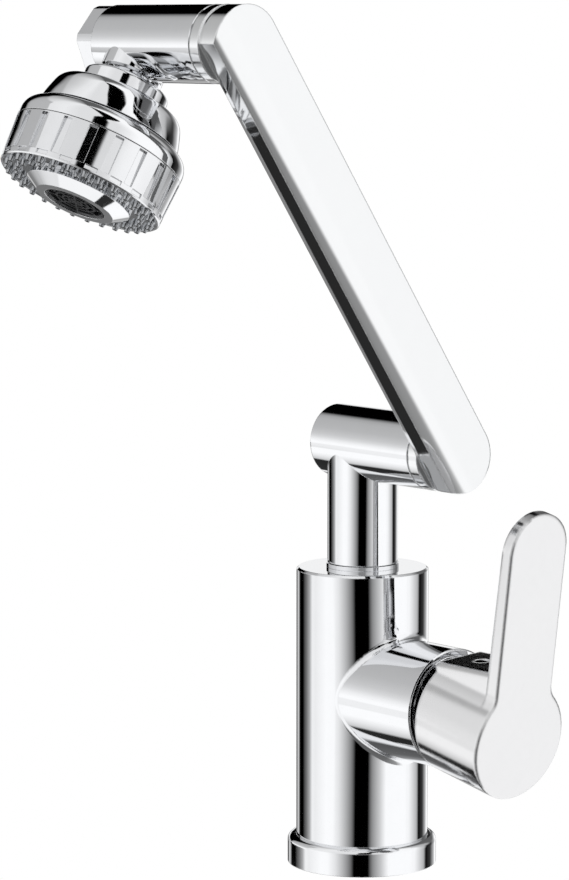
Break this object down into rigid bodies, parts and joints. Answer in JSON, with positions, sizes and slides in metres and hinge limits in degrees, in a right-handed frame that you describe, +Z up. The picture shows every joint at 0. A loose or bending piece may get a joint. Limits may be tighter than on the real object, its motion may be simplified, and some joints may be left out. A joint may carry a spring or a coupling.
{
  "type": "folding caravan tap",
  "caption": "single-lever mixer tap with a two-elbow folding arm, a side lever on a round column, and a fluted spray head on a ball joint",
  "frame": {"origin": "middle of the foot's underside, at the mouth of the fixing stud hole", "axes": "+Z up the column, +X along the cartridge towards the lever, -Y towards the user; the arm leans to -Y"},
  "size_m": [0.1342, 0.1852, 0.3241],
  "materials": {
    "chrome": "polished",
    "satin_chrome": "satin",
    "brass": "turned",
    "steel": "machined",
    "rubber": "moulded",
    "bearing_plastic": "moulded",
    "core_plastic": "moulded",
    "face_plastic": "moulded",
    "ceramic": "ground"
  },
  "bodies": {
    "tap_body": {"body_casting": "chrome", "foot_ring": "chrome", "deck_seal": "rubber", "neck_washer": "chrome", "neck_bush": "bearing_plastic", "keeper_screw": "steel", "cartridge_base": "bearing_plastic", "port_seals": "rubber", "fixed_ceramic_disc": "ceramic", "cartridge_shell": "core_plastic", "cartridge_nut": "brass", "trim_cap": "chrome"},
    "neck": {"neck_tee": "chrome", "neck_seals": "rubber", "tee_end_cap": "chrome", "fold_bush": "bearing_plastic"},
    "arm": {"arm_bar": "chrome", "fold_spindle": "brass", "fold_seals": "rubber", "fold_thrust_washer": "bearing_plastic", "fold_nut": "brass", "spout_spindle": "brass", "spout_seals": "rubber", "spout_thrust_washer": "bearing_plastic", "spout_nut": "brass"},
    "spout": {"spout_barrel": "chrome", "spout_bush": "bearing_plastic", "spout_end_plug": "chrome", "plug_seal": "rubber", "ball_stem": "satin_chrome"},
    "ball_seat": {"ball_seat_ring": "bearing_plastic"},
    "ball_cup": {"ball_seal": "rubber"},
    "head": {"head_nut": "chrome", "head_dome": "chrome", "head_collar": "chrome", "head_core": "core_plastic", "spray_face": "face_plastic", "outlet_cone": "chrome", "aerator_insert": "core_plastic", "aerator_washer": "rubber", "aerator_mesh": "core_plastic"},
    "grip": {"grip_ring": "chrome"},
    "carrier": {"carrier_rotor": "core_plastic", "pivot_pin": "steel"},
    "disc_slide": {"moving_ceramic_disc": "ceramic", "disc_slider": "core_plastic"},
    "lever": {"lever_stem": "steel", "lever_handle": "chrome", "lever_set_screw": "steel", "lever_plug": "chrome"}
  },
  "joints": [
    {"name": "neck_swivel", "type": "hinge", "parent": "tap_body", "child": "neck", "pos_m": [0, 0, 0.1135], "axis": [0, 0, 1], "continuous": true},
    {"name": "arm_fold", "type": "hinge", "parent": "neck", "child": "arm", "pos_m": [0, 0, 0.1605], "axis": [1, 0, 0], "range_deg": [-124.1, 55.9]},
    {"name": "spout_turn", "type": "hinge", "parent": "arm", "child": "spout", "pos_m": [0, -0.10148, 0.31038], "axis": [1, 0, 0], "continuous": true},
    {"name": "head_tilt_fore", "type": "hinge", "parent": "spout", "child": "ball_seat", "pos_m": [-0.0017, -0.11238, 0.29127], "axis": [1, 0, 0], "range_deg": [-8, 8]},
    {"name": "head_tilt_side", "type": "hinge", "parent": "ball_seat", "child": "ball_cup", "pos_m": [-0.0017, -0.11238, 0.29127], "axis": [0, -0.8686, 0.4955], "range_deg": [-6, 6]},
    {"name": "head_spin", "type": "hinge", "parent": "ball_cup", "child": "head", "pos_m": [-0.0017, -0.11238, 0.29127], "axis": [0, -0.4955, -0.8686], "continuous": true},
    {"name": "spray_select", "type": "hinge", "parent": "head", "child": "grip", "pos_m": [-0.0017, -0.12625, 0.26695], "axis": [0, -0.4955, -0.8686], "range_deg": [0, 60]},
    {"name": "lever_turn", "type": "hinge", "parent": "tap_body", "child": "carrier", "pos_m": [0.041, 0, 0.0664], "axis": [1, 0, 0], "range_deg": [-48.4, 41.6]},
    {"name": "lever_lift", "type": "hinge", "parent": "carrier", "child": "lever", "pos_m": [0.041, 0, 0.0664], "axis": [0, 0.9982, 0.0593], "range_deg": [-11, 0]},
    {"name": "disc_slide", "type": "slide", "parent": "carrier", "child": "disc_slide", "axis": [0, -0.0593, 0.9982], "range_m": [-0.0017, 0.0001]}
  ],
  "couplings": [
    {"joint": "disc_slide", "follows": "lever_lift", "m_per_rad": 0.0082}
  ]
}
